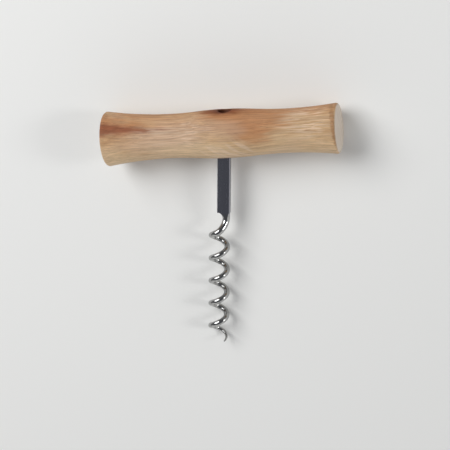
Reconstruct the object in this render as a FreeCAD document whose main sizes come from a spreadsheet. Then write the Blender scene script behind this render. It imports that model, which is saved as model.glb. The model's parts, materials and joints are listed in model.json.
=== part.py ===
"""A corkscrew with a turned wooden cross handle and a one-piece steel screw.

The pieces are drawn as the tool is held upright: the shank runs down -Y from the handle's
axis, the flat of the bar faces +Z, and the handle lies across, near X, but bored a few
degrees off square. Each piece is then put down on the plane z = 0 as the tool comes to rest
there, on the two ends of the handle and one coil of the worm. Lengths are millimetres.
"""
import FreeCAD, Part

import math
import os

import Sketcher
from FreeCAD import Placement, Rotation, Vector

SIZES = [
    ("left_length", 51.7, "from the shank to the handle's left end"),
    ("right_length", 49.0, "from the shank to the handle's right end"),
    ("left_waist_at", 23.0, "from the shank to the left waist"),
    ("right_waist_at", 26.5, "from the shank to the right waist"),
    ("left_end_radius", 11.6, "handle, left end"),
    ("left_waist_radius", 9.35, "handle, left waist"),
    ("belly_radius", 10.35, "handle, round the shank"),
    ("right_waist_radius", 9.25, "handle, right waist"),
    ("right_end_radius", 10.55, "handle, right end"),
    ("end_round", 1.1, "rounding of the handle's two end edges"),
    ("cant", 6.7, "degrees that the handle's right end is raised from square to the shank"),
    ("bar_width", 5.4, "flat bar of the screw, along the handle"),
    ("bar_thickness", 3.2, "flat bar of the screw, front to back"),
    ("bar_edge", 0.35, "rounding of the bar's long edges"),
    ("bar_reach", 34.9, "from the handle's axis to the bar's lower end"),
    ("mortise_depth", 4.0, "how far the bar sits in the handle"),
    ("mortise_clearance", 0.05, "between the bar and its mortise, each side"),
    ("tang_width", 2.8, "diameter of the round tang above the bar"),
    ("bore_clearance", 0.1, "between the tang and its bore or washer, all round"),
    ("recess_width", 6.0, "diameter of the recess in the handle's top"),
    ("recess_depth", 3.6, "depth of that recess, from the belly's top"),
    ("washer_clearance", 0.15, "between the washer and its recess, all round"),
    ("washer_thickness", 0.8, "washer under the peened head"),
    ("head_width", 4.2, "diameter of the tang's peened head"),
    ("head_height", 0.9, "height of the peened head's dome"),
    ("wire_width", 2.45, "diameter of the worm's wire"),
    ("neck_width", 3.2, "diameter of the wire where the neck ends"),
    ("neck_length", 2.7, "from the bar's end to where the neck has become round"),
    ("neck_offset", 1.0, "from the bar's axis to the neck's, towards the right"),
    ("shoulder", 0.25, "ledge left round the neck at the bar's end"),
    ("lead_in", 5.7, "from the bar's end to where the turns are counted from"),
    ("coil_width", 9.2, "outside diameter of the worm"),
    ("coil_pitch", 10.4, "from one coil to the next"),
    ("coil_turns", 5.08, "turns down to the point"),
    ("coil_offset", 1.9, "from the bar's axis to the worm's, towards the left"),
    ("point_turns", 0.6, "turns over which the wire is ground to a point"),
    ("point_width", 0.7, "diameter left at the point"),
]

SQUARENESS = 7.0        # exponent of the neck's outline at the bar, where 2 is a circle
NECK_ROOT = 0.5         # how far the neck's root reaches up inside the bar
BLEND_TURNS = 0.28      # turns at which the lead-in has bent into the coil
SLIMMING_TURNS = 0.5    # turns by which the wire has slimmed from the neck's width
STRETCH_TURNS = 0.5     # the coil is skinned in stretches of about this many turns
NECK_STEPS = 4          # steps from outline to outline down the neck
LEAD_IN_STEPS = 4       # the same along the lead-in
COIL_STEPS = 6          # the same along each stretch of the coil
OUTLINE_POINTS = 12
TOUCH_TOLERANCE = 0.01  # how finely the shapes are sampled to find where they touch down
SETTLING_ROUNDS = 6
DOWN = Vector(0, -1, 0)
ACROSS = Vector(1, 0, 0)


def make_sheet(doc):
    """The driving sizes, one row each: its name, its value and what it measures."""
    sheet = doc.addObject("Spreadsheet::Sheet", "sizes")
    for row, (name, value, meaning) in enumerate(SIZES, start=1):
        sheet.set("A%d" % row, name)
        sheet.set("B%d" % row, str(value))
        sheet.set("C%d" % row, meaning)
        sheet.setAlias("B%d" % row, name)
    doc.recompute()
    return sheet


def make_body(doc, name):
    body = doc.addObject("PartDesign::Body", name)
    body.Label = name
    return body


def add_sketch(body, name, role, **offsets):
    """A sketch on one of the body's own planes, moved along the plane's axes by expressions."""
    plane = next(p for p in body.Origin.OriginFeatures if p.Role == role)
    sketch = body.newObject("Sketcher::SketchObject", name)
    sketch.AttachmentSupport = [(plane, "")]
    sketch.MapMode = "FlatFace"
    for axis, expression in offsets.items():
        sketch.setExpression(".AttachmentOffset.Base.%s" % axis, expression)
    return sketch


def constrain(sketch, expression, *definition):
    """A dimension of the sketch, bound to an expression."""
    index = sketch.addConstraint(Sketcher.Constraint(*definition))
    sketch.setExpression("Constraints[%d]" % index, expression)


def add_circle(sketch, diameter):
    """A circle about the sketch's origin."""
    circle = sketch.addGeometry(Part.Circle(Vector(0, 0, 0), Vector(0, 0, 1), 1.0))
    sketch.addConstraint(Sketcher.Constraint("Coincident", circle, 3, -1, 1))
    constrain(sketch, diameter, "Diameter", circle, 2.0)


def add_rectangle(sketch, width, height):
    """A rectangle about the sketch's origin."""
    corners = [Vector(-1, -1, 0), Vector(1, -1, 0), Vector(1, 1, 0), Vector(-1, 1, 0)]
    sides = [
        sketch.addGeometry(Part.LineSegment(corners[i], corners[(i + 1) % 4]))
        for i in range(4)
    ]
    for i, kind in enumerate(("Horizontal", "Vertical", "Horizontal", "Vertical")):
        after = sides[(i + 1) % 4]
        sketch.addConstraint(Sketcher.Constraint("Coincident", sides[i], 2, after, 1))
        sketch.addConstraint(Sketcher.Constraint(kind, sides[i]))
    opposite = ("Symmetric", sides[0], 1, sides[1], 2, -1, 1)
    sketch.addConstraint(Sketcher.Constraint(*opposite))
    constrain(sketch, width, "DistanceX", sides[0], 1, sides[0], 2, 2.0)
    constrain(sketch, height, "DistanceY", sides[1], 1, sides[1], 2, 2.0)


def add_feature(body, kind, name, profile, **expressions):
    """A feature made from a sketch, with its lengths bound to expressions."""
    feature = body.newObject("PartDesign::" + kind, name)
    feature.Profile = profile
    for prop, expression in expressions.items():
        feature.setExpression(prop, expression)
    return feature


def straight_edges(shape, length):
    """Names of the shape's straight edges along Y that are that long."""
    names = []
    for number, edge in enumerate(shape.Edges, start=1):
        run = edge.Vertexes[-1].Point - edge.Vertexes[0].Point
        if abs(abs(run.y) - length) < 1e-6 and abs(run.x) + abs(run.z) < 1e-6:
            names.append("Edge%d" % number)
    return names


def add_level_arc(sketch, flat, other):
    """An arc that is level at the first point and passes through the other one.

    Returns the arc's number in the sketch and its left and right ends, as number and point.
    """
    run = other[0] - flat[0]
    rise = other[1] - flat[1]
    reach = (run * run + rise * rise) / (2 * rise)
    centre = Vector(flat[0], flat[1] + reach, 0)
    foot = -math.copysign(math.pi / 2, rise)
    turn = math.copysign(math.asin(abs(run / reach)), run * rise)
    first, last = sorted((foot, foot + turn))
    circle = Part.Circle(centre, Vector(0, 0, 1), abs(reach))
    number = sketch.addGeometry(Part.ArcOfCircle(circle, first, last))
    left, right = (1, 2) if rise > 0 else (2, 1)
    level_end = left if run > 0 else right
    sketch.addConstraint(Sketcher.Constraint("Vertical", number, 3, number, level_end))
    return number, (number, left), (number, right)


def add_end_round(sketch, face_x, radius, reach):
    """The quarter round between an end face and the flare, from the side face to the end."""
    inward = -math.copysign(radius, face_x)
    circle = Part.Circle(Vector(face_x + inward, reach - radius, 0), Vector(0, 0, 1), radius)
    start = 0.0 if face_x > 0 else math.pi / 2
    number = sketch.addGeometry(Part.ArcOfCircle(circle, start, start + math.pi / 2))
    constrain(sketch, "sizes.end_round", "Radius", number, radius)
    return number


def midway(a, b):
    return ((a[0] + b[0]) / 2, (a[1] + b[1]) / 2)


def add_turned_profile(sketch, size):
    """Half the handle's outline, as a turner cuts it, from the left end face to the right one.

    Its six arcs are level at both waists and at the belly. On each side the waist's arc and
    the belly's are alike and meet in a smooth change of bend.
    """
    left_end = (size.end_round - size.left_length, size.left_end_radius)
    left_waist = (-size.left_waist_at, size.left_waist_radius)
    belly = (0.0, size.belly_radius)
    right_waist = (size.right_waist_at, size.right_waist_radius)
    right_end = (size.right_length - size.end_round, size.right_end_radius)
    left_bend = midway(left_waist, belly)
    right_bend = midway(right_waist, belly)
    flare, waist, left_belly, right_belly, other_waist, other_flare = (
        add_level_arc(sketch, flat, other)
        for flat, other in (
            (left_waist, left_end),
            (left_waist, left_bend),
            (belly, left_bend),
            (belly, right_bend),
            (right_waist, right_bend),
            (right_waist, right_end),
        )
    )
    left_round = add_end_round(sketch, -size.left_length, size.end_round, left_end[1])
    right_round = add_end_round(sketch, size.right_length, size.end_round, right_end[1])
    left_foot, right_foot = Vector(-size.left_length, 0, 0), Vector(size.right_length, 0, 0)
    left_rim = left_foot + Vector(0, left_end[1] - size.end_round, 0)
    right_rim = right_foot + Vector(0, right_end[1] - size.end_round, 0)
    left_face = sketch.addGeometry(Part.LineSegment(left_foot, left_rim))
    right_face = sketch.addGeometry(Part.LineSegment(right_rim, right_foot))
    axis = sketch.addGeometry(Part.LineSegment(right_foot, left_foot))
    for definition in (
        ("Coincident", axis, 2, left_face, 1),
        ("Coincident", right_face, 2, axis, 1),
        ("PointOnObject", axis, 1, -1),
        ("PointOnObject", axis, 2, -1),
        ("Vertical", left_face),
        ("Vertical", right_face),
        ("Tangent", left_face, 2, left_round, 2),
        ("Tangent", left_round, 1, *flare[1]),
        ("Coincident", *flare[2], *waist[1]),
        ("Tangent", *waist[2], *left_belly[1]),
        ("Coincident", *left_belly[2], *right_belly[1]),
        ("Tangent", *right_belly[2], *other_waist[1]),
        ("Coincident", *other_waist[2], *other_flare[1]),
        ("Tangent", *other_flare[2], right_round, 2),
        ("Tangent", right_round, 1, right_face, 1),
        ("Equal", waist[0], left_belly[0]),
        ("Equal", right_belly[0], other_waist[0]),
        ("PointOnObject", *right_belly[1], -2),
    ):
        sketch.addConstraint(Sketcher.Constraint(*definition))
    origin = (-1, 1)
    for name, direction, start, end, value in (
        ("left_length", "DistanceX", (left_face, 1), origin, size.left_length),
        ("right_length", "DistanceX", origin, (right_face, 2), size.right_length),
        ("left_waist_at", "DistanceX", waist[1], origin, size.left_waist_at),
        ("right_waist_at", "DistanceX", origin, other_waist[2], size.right_waist_at),
        ("left_end_radius", "DistanceY", origin, flare[1], size.left_end_radius),
        ("left_waist_radius", "DistanceY", origin, waist[1], size.left_waist_radius),
        ("belly_radius", "DistanceY", origin, right_belly[1], size.belly_radius),
        ("right_waist_radius", "DistanceY", origin, other_waist[2], size.right_waist_radius),
        ("right_end_radius", "DistanceY", origin, other_flare[2], size.right_end_radius),
    ):
        constrain(sketch, "sizes.%s" % name, direction, *start, *end, value)


def make_handle(doc, sheet):
    """The turned handle: its profile turned about its own axis, and the screw's holes."""
    body = make_body(doc, "handle")
    profile = add_sketch(body, "turned_profile", "XY_Plane")
    profile.setExpression(".AttachmentOffset.Rotation.Angle", "sizes.cant")
    add_turned_profile(profile, sheet)
    form = body.newObject("PartDesign::Revolution", "turned_form")
    form.Profile = profile
    form.ReferenceAxis = (profile, ["H_Axis"])
    form.Angle = 360.0

    # Each hole starts at a plane across the shank and is cut from there to the outside.
    floor = add_sketch(
        body, "recess_floor", "XZ_Plane", z="sizes.recess_depth - sizes.belly_radius"
    )
    add_circle(floor, "sizes.recess_width")
    add_feature(body, "Pocket", "recess", floor, Length="2 * sizes.belly_radius")

    seat = add_sketch(
        body, "mortise_floor", "XZ_Plane", z="sizes.belly_radius - sizes.mortise_depth"
    )
    add_rectangle(
        seat,
        "sizes.bar_width + 2 * sizes.mortise_clearance",
        "sizes.bar_thickness + 2 * sizes.mortise_clearance",
    )
    mortise = add_feature(body, "Pocket", "mortise", seat, Length="2 * sizes.belly_radius")
    mortise.Reversed = True

    across = add_sketch(
        body, "bore_round", "XZ_Plane", z="sizes.belly_radius - sizes.mortise_depth"
    )
    add_circle(across, "sizes.tang_width + 2 * sizes.bore_clearance")
    add_feature(body, "Pocket", "bore", across, Length="2 * sizes.belly_radius")
    return body


def make_shank(doc):
    """The top of the screw: flat bar, round tang, and the head peened over the washer."""
    body = make_body(doc, "shank")
    seat = add_sketch(
        body, "bar_outline", "XZ_Plane", z="sizes.belly_radius - sizes.mortise_depth"
    )
    add_rectangle(seat, "sizes.bar_width", "sizes.bar_thickness")
    bar = add_feature(
        body, "Pad", "bar", seat,
        Length="sizes.bar_reach - sizes.belly_radius + sizes.mortise_depth",
    )
    doc.recompute()
    edges = body.newObject("PartDesign::Fillet", "bar_edges")
    edges.Base = (bar, straight_edges(bar.Shape, bar.Length.Value))
    edges.setExpression("Radius", "sizes.bar_edge")

    # The tang ends at the washer's top, where the head begins.
    over = add_sketch(
        body, "tang_round", "XZ_Plane",
        z="sizes.recess_depth - sizes.belly_radius - sizes.washer_thickness",
    )
    add_circle(over, "sizes.tang_width")
    add_feature(
        body, "Pad", "tang", over,
        Length="2 * sizes.belly_radius - sizes.recess_depth - sizes.mortise_depth"
               " + sizes.washer_thickness",
    )
    dome = add_sketch(
        body, "head_outline", "XY_Plane",
        y="sizes.belly_radius - sizes.recess_depth + sizes.washer_thickness",
    )
    add_dome(dome, "sizes.head_width / 2", "sizes.head_height")
    head = body.newObject("PartDesign::Revolution", "peened_head")
    head.Profile = dome
    head.ReferenceAxis = (dome, ["V_Axis"])
    head.Angle = 360.0
    return body


def add_dome(sketch, radius, height):
    """Half a dome's outline: its base, its arc from the rim to the top, and the axis."""
    base = sketch.addGeometry(Part.LineSegment(Vector(0, 0, 0), Vector(2, 0, 0)))
    axis = sketch.addGeometry(Part.LineSegment(Vector(0, 1, 0), Vector(0, 0, 0)))
    low_circle = Part.Circle(Vector(0, -1.5, 0), Vector(0, 0, 1), 2.5)
    rim = math.atan2(1.5, 2.0)
    arc = sketch.addGeometry(Part.ArcOfCircle(low_circle, rim, math.pi / 2))
    for definition in (
        ("Coincident", base, 1, -1, 1),
        ("Coincident", axis, 2, -1, 1),
        ("Coincident", arc, 1, base, 2),
        ("Coincident", arc, 2, axis, 1),
        ("Horizontal", base),
        ("Vertical", axis),
        ("PointOnObject", arc, 3, -2),
    ):
        sketch.addConstraint(Sketcher.Constraint(*definition))
    constrain(sketch, radius, "DistanceX", base, 1, base, 2, 2.0)
    constrain(sketch, height, "DistanceY", axis, 2, axis, 1, 1.0)


def outline(centre, along, side, half_width, half_height, power=2.0):
    """A closed outline across a line: |x / half_width|^power + |y / half_height|^power = 1."""
    up = along.cross(side)
    points = []
    for i in range(OUTLINE_POINTS):
        turn = 2 * math.pi * i / OUTLINE_POINTS
        x = math.copysign(abs(math.cos(turn)) ** (2 / power), math.cos(turn))
        y = math.copysign(abs(math.sin(turn)) ** (2 / power), math.sin(turn))
        points.append(centre + side * (x * half_width) + up * (y * half_height))
    curve = Part.BSplineCurve()
    curve.interpolate(Points=points, PeriodicFlag=True)
    return Part.Wire([curve.toShape()])


def neck_outlines(size):
    """From the rounded rectangle under the bar to the round wire at its right.

    The left side comes in along a quarter of an ellipse, as a fillet does.
    """
    wire = size.neck_width / 2
    root_width = size.bar_width / 2 - size.shoulder
    root_height = size.bar_thickness / 2 - size.shoulder / 2
    outlines = []
    for i in range(NECK_STEPS):
        turn = math.pi / 2 * i / NECK_STEPS
        fall = 1 - math.cos(turn)
        left = -root_width + (size.neck_offset - wire + root_width) * math.sin(turn)
        right = root_width + (size.neck_offset + wire - root_width) * fall
        centre = Vector((left + right) / 2, -size.bar_reach - size.neck_length * fall, 0)
        height = root_height + (wire - root_height) * fall
        power = 2 + (SQUARENESS - 2) * (1 - fall) ** 2
        half_width = (right - left) / 2
        outlines.append(outline(centre, DOWN, ACROSS, half_width, height, power))
    return outlines


def coil_point(size, turns):
    """Centre of the wire and its direction after that many turns of the right-hand coil."""
    radius = (size.coil_width - size.wire_width) / 2
    angle = 2 * math.pi * turns
    drop = size.bar_reach + size.lead_in + size.coil_pitch * turns
    centre = Vector(
        radius * math.cos(angle) - size.coil_offset, -drop, radius * math.sin(angle)
    )
    along = Vector(
        -radius * math.sin(angle), -size.coil_pitch / (2 * math.pi), radius * math.cos(angle)
    )
    return centre, along.normalize()


def lead_in_point(size, share):
    """Centre and direction on the curve that bends from straight down into the coil."""
    start = Vector(size.neck_offset, -size.bar_reach - size.neck_length, 0)
    end, end_along = coil_point(size, BLEND_TURNS)
    reach = (end - start).Length
    pull_start = Vector(0, -reach, 0)
    pull_end = end_along * reach
    s = share
    centre = (
        start * (2 * s**3 - 3 * s**2 + 1)
        + pull_start * (s**3 - 2 * s**2 + s)
        + end * (3 * s**2 - 2 * s**3)
        + pull_end * (s**3 - s**2)
    )
    along = (
        start * (6 * s**2 - 6 * s)
        + pull_start * (3 * s**2 - 4 * s + 1)
        + end * (6 * s - 6 * s**2)
        + pull_end * (3 * s**2 - 2 * s)
    )
    return centre, along.normalize()


def wire_radius(size, turns):
    """The wire slims from the neck's width to its own, and is ground to a point at its end."""
    slimmed = min(turns / SLIMMING_TURNS, 1.0)
    width = size.neck_width + (size.wire_width - size.neck_width) * slimmed
    left_to_go = min((size.coil_turns - turns) / size.point_turns, 1.0)
    return (size.point_width + (width - size.point_width) * left_to_go) / 2


def round_outline(size, centre, along, radius):
    """The wire's round outline, with its first point on the side away from the worm's axis."""
    outward = Vector(centre.x + size.coil_offset, 0, centre.z)
    side = (outward - along * outward.dot(along)).normalize()
    return outline(centre, along, side, radius, radius)


def lead_in_outlines(size):
    outlines = []
    for i in range(LEAD_IN_STEPS + 1):
        share = i / LEAD_IN_STEPS
        centre, along = lead_in_point(size, share)
        radius = wire_radius(size, BLEND_TURNS * share)
        outlines.append(round_outline(size, centre, along, radius))
    return outlines


def coil_outlines(size, start, end):
    outlines = []
    for i in range(COIL_STEPS + 1):
        turns = start + (end - start) * i / COIL_STEPS
        centre, along = coil_point(size, turns)
        outlines.append(round_outline(size, centre, along, wire_radius(size, turns)))
    return outlines


def skin(stretches):
    """One closed skin over stretches of outlines, each ending on the next one's first."""
    for before, after in zip(stretches, stretches[1:]):
        if before[-1] is not after[0]:
            before[-1:] = [after[0]]
    lofts = [Part.makeLoft(outlines, True) for outlines in stretches]
    sides = [f for loft in lofts for f in loft.Faces if not isinstance(f.Surface, Part.Plane)]
    ends = [Part.Face(stretches[0][0]), Part.Face(stretches[-1][-1])]
    sewn = Part.Compound(sides + ends)
    sewn.sewShape()
    shell = sewn.Shells[0]
    if Part.Solid(shell).Volume < 0:
        shell.reverse()
    return Part.Solid(shell)


def worm_shape(size):
    """Root, neck, lead-in, coil and ground point of the screw, from the bar's end down."""
    neck = neck_outlines(size)
    root = neck[0].copy()
    root.translate(-DOWN * NECK_ROOT)
    lead_in = lead_in_outlines(size)
    run = size.coil_turns - BLEND_TURNS
    count = math.ceil(run / STRETCH_TURNS)
    ends = [BLEND_TURNS + run * i / count for i in range(count + 1)]
    coil = [coil_outlines(size, start, end) for start, end in zip(ends, ends[1:])]
    return skin([[root, neck[0]], neck + [lead_in[0]], lead_in] + coil)


def make_screw(doc, sheet):
    """The one-piece steel screw: the worm grown on to the shank's lower end."""
    shank = make_shank(doc)
    worm = doc.addObject("Part::Feature", "worm")
    worm.Shape = worm_shape(sheet)
    screw = doc.addObject("Part::Fuse", "screw")
    screw.Label = "screw"
    screw.Base = shank
    screw.Tool = worm
    return screw


def make_washer(doc):
    """The washer that the tang is peened over, at the bottom of the recess."""
    body = make_body(doc, "tang_washer")
    disc = add_sketch(
        body, "washer_outline", "XZ_Plane",
        z="sizes.recess_depth - sizes.belly_radius - sizes.washer_thickness",
    )
    add_circle(disc, "sizes.recess_width - 2 * sizes.washer_clearance")
    add_circle(disc, "sizes.tang_width + 2 * sizes.bore_clearance")
    add_feature(body, "Pad", "disc", disc, Length="sizes.washer_thickness")
    return body


def lowest(points, placement):
    """The lowest of the points once they are placed."""
    return min((placement.multVec(p) for p in points), key=lambda p: p.z)


def resting_placement(handle, screw):
    """Lays the tool down: both ends of the handle and the worm touch z = 0.

    Each round turns it about Y until the handle's two ends are level, then about X until
    the worm is level with them. The box round the tool is then centred over the origin.
    """
    wood = handle.Shape.tessellate(TOUCH_TOLERANCE)[0]
    steel = screw.Shape.tessellate(TOUCH_TOLERANCE)[0]
    left = [p for p in wood if p.x < 0]
    right = [p for p in wood if p.x > 0]
    down = Placement()
    for _ in range(SETTLING_ROUNDS):
        a, b = lowest(left, down), lowest(right, down)
        level = math.degrees(math.atan2(b.z - a.z, b.x - a.x))
        down = Placement(Vector(), Rotation(Vector(0, 1, 0), level)) * down
        a, b = lowest(steel, down), lowest(wood, down)
        level = math.degrees(math.atan2(b.z - a.z, b.y - a.y))
        down = Placement(Vector(), Rotation(Vector(1, 0, 0), -level)) * down
    placed = [down.multVec(p) for p in wood + steel]
    low = [min(p[i] for p in placed) for i in range(3)]
    high = [max(p[i] for p in placed) for i in range(3)]
    shift = Vector(-(low[0] + high[0]) / 2, -(low[1] + high[1]) / 2, -low[2])
    return Placement(shift, Rotation()) * down


def check(doc, pieces):
    for item in doc.Objects:
        if "Invalid" in item.State or "Error" in item.State:
            raise RuntimeError("%s failed: %s" % (item.Name, item.State))
    for piece in pieces:
        if piece.Shape.isNull() or not piece.Shape.isValid():
            raise RuntimeError("%s has no valid shape" % piece.Label)
        if len(piece.Shape.Solids) != 1:
            raise RuntimeError("%s is not one solid" % piece.Label)


def main():
    doc = FreeCAD.newDocument("corkscrew")
    sheet = make_sheet(doc)
    handle = make_handle(doc, sheet)
    screw = make_screw(doc, sheet)
    washer = make_washer(doc)
    doc.recompute()
    pieces = [handle, screw, washer]
    check(doc, pieces)

    rest = resting_placement(handle, screw)
    for piece in pieces:
        piece.Placement = rest
    doc.recompute()
    check(doc, pieces)

    os.makedirs("parts", exist_ok=True)
    for piece in pieces:
        piece.Shape.exportStep("parts/%s.step" % piece.Label)
        box = piece.Shape.optimalBoundingBox()
        print("%-12s volume %.1f, box %.1f x %.1f x %.1f, lowest %.3f" % (
            piece.Label, piece.Shape.Volume, box.XLength, box.YLength, box.ZLength, box.ZMin
        ))


main()
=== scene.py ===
"""A corkscrew with a turned wooden cross handle and a bright plated screw, in its studio.

The handle, the screw and the washer under the tang's head are numpy surfaces, each a grid of
two parameters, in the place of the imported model's same piece. Every shape is worked out in
the tool's own frame, in metres: the shank runs down -Y from the handle's axis, the flat of
the bar faces +Z, and the handle lies across, a few degrees off X.
"""

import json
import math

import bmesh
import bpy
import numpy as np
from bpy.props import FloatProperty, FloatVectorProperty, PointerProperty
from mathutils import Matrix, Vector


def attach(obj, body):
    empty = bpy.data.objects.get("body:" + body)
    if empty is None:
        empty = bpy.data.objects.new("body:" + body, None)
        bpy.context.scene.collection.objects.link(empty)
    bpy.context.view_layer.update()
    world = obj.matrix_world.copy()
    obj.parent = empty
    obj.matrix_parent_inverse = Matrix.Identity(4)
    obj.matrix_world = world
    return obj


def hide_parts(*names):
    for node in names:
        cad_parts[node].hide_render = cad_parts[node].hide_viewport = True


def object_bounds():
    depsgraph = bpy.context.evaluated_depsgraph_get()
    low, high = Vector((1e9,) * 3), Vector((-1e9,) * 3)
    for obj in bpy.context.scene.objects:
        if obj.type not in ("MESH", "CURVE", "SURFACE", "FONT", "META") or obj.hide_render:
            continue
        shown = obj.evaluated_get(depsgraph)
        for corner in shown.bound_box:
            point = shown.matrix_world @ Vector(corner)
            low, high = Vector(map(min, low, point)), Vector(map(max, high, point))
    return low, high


bl_info = {
    "name": "Corkscrew",
    "version": (1, 0, 0),
    "blender": (4, 5, 0),
    "location": "3D View > Sidebar > Corkscrew",
    "description": "A corkscrew with a turned handle and a wire worm, and its studio",
    "category": "Object",
}

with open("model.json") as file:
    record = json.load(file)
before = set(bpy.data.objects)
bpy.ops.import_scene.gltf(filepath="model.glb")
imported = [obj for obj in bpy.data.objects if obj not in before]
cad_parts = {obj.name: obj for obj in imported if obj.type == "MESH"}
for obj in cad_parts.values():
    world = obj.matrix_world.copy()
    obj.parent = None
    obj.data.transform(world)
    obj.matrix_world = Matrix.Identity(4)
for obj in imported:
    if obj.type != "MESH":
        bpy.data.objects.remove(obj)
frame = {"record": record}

CAD_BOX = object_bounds()
MM = 0.001

# The tool's frame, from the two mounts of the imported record: the handle's right end face,
# whose axis is the handle's own, and the worm, whose axis runs down the shank.
MOUNTS = {mount["name"]: mount for mount in frame["record"]["mounts"]}
END_CENTRE = Vector(MOUNTS["end_face"]["pos_m"])
POINT = Vector(MOUNTS["worm"]["pos_m"])
HANDLE_AXIS = Vector(MOUNTS["end_face"]["axis"]).normalized()
SHANK_UP = -Vector(MOUNTS["worm"]["axis"]).normalized()
FRONT = HANDLE_AXIS.cross(SHANK_UP).normalized()
ACROSS = SHANK_UP.cross(FRONT)
CANT = math.asin(HANDLE_AXIS.dot(SHANK_UP))
COIL_OFFSET = 1.9 * MM
RIGHT_LENGTH = ((END_CENTRE - POINT).dot(ACROSS) - COIL_OFFSET) / math.cos(CANT)
ORIGIN = END_CENTRE - HANDLE_AXIS * RIGHT_LENGTH
POINT_DROP = (ORIGIN - POINT).dot(SHANK_UP)

AROUND = 144  # columns of the handle's grid, 2.5 degrees or 0.45 mm each
STATION = 0.45 * MM  # from one row of the handle's grid to the next
WINDOW_CELLS = 20  # sides of the two windows in that grid that the holes are set in
ROUND_STEPS = 8  # rows along each rounded end edge
FACE_RINGS = 12  # rows from the rim of an end face to its centre
WINDOW_RINGS = 6  # loops from a window's border to the hole in it
RIM_STEPS = 3  # loops round the worn edge of a hole
SETTLING_ROUNDS = 12  # rounds of the two fixed-point searches, which settle in about five
WIRE_COLUMNS = 48  # columns of the screw's grid
TURN_ROWS = 64  # rows of the screw's grid for each turn of the worm
LEAD_IN_ROWS = 32
NECK_ROWS = 16
DOME_ROWS = 8
WASHER_COLUMNS = 96
WASHER_OUTLINE = 16  # points round the washer's section
SHARP_ANGLE = math.radians(34)

IMAGE_PIXELS = 450
SENSOR = 36.0  # width of the camera's sensor in millimetres, as Blender counts it


def linear(text):
    """An sRGB hex colour such as #c8a47c as linear red, green, blue and an alpha of one."""
    parts = [int(text[i:i + 2], 16) / 255 for i in (1, 3, 5)]
    parts = [p / 12.92 if p <= 0.04045 else ((p + 0.055) / 1.055) ** 2.4 for p in parts]
    return (*parts, 1.0)


def length(name, default, description):
    """A size in metres."""
    return FloatProperty(
        name=name, default=default, description=description, unit="LENGTH", precision=5
    )


def angle(name, degrees, description):
    """An angle, given in degrees."""
    return FloatProperty(
        name=name, default=math.radians(degrees), description=description, unit="ROTATION"
    )


def colour(name, text, description):
    """A colour, given as sRGB hex."""
    return FloatVectorProperty(
        name=name, default=linear(text), description=description, subtype="COLOR", size=4
    )


class HandleSettings(bpy.types.PropertyGroup):
    """Sizes and colours of the turned handle. Places along it are counted from the shank."""

    left_length: length("Left length", 51.7 * MM, "From the shank to the left end")
    right_length: length("Right length", RIGHT_LENGTH, "From the shank to the right end")
    left_waist_at: length("Left waist at", 23.0 * MM, "From the shank to the left waist")
    right_waist_at: length("Right waist at", 26.5 * MM, "From the shank to the right waist")
    left_end_radius: length("Left end", 11.6 * MM, "Radius at the left end")
    left_waist_radius: length("Left waist", 9.35 * MM, "Radius at the left waist")
    belly_radius: length("Belly", 10.35 * MM, "Radius round the shank")
    right_waist_radius: length("Right waist", 9.25 * MM, "Radius at the right waist")
    right_end_radius: length("Right end", 10.55 * MM, "Radius at the right end")
    end_round: length("End rounding", 1.1 * MM, "Radius of the two end edges")
    recess_width: length("Recess", 6.0 * MM, "Diameter of the recess in the top")
    recess_depth: length("Recess depth", 3.6 * MM, "Depth of the recess from the belly's top")
    rim_wear: length("Worn rim", 0.35 * MM, "Rounding of the recess's edge in the wood")
    sapwood: colour("Sapwood", "#c9a57b", "Main tan of the wood")
    # Also laid along the underside, where it is partly painted light.
    pale: colour("Pale wood", "#dcc09c", "Pale streaks of early growth")
    latewood: colour("Late wood", "#a67c55", "Darker growth lines")
    rosy: colour("Rosy cast", "#c7a589", "Pinkish areas of the wood")
    heart: colour("Heart stain", "#8c4f32", "Reddish brown streak of heartwood at the left")
    # Also laid along the top, where it is partly painted shade.
    amber: colour("Amber area", "#b57e53", "Orange brown area right of the shank")
    # Painted sheen: a pale tone laid into the wood's colour where its fibres catch the light.
    painted_sheen: colour("Sheen", "#e5cbb1", "Pale lines where the fibres catch the light")
    # A warm brown area round the recess.
    recess_brown: colour("Scorched wood", "#7c3d16", "Warm brown stain round the recess")
    # Painted shade: the dark brown inside the bored holes and on the recess's front lip.
    hole_shade: colour("Burnt wood", "#552812", "Dark wood in and right beside the bored holes")
    end_grain: colour("End grain", "#cbc0b4", "Grey beige of the sawn end faces")


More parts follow.
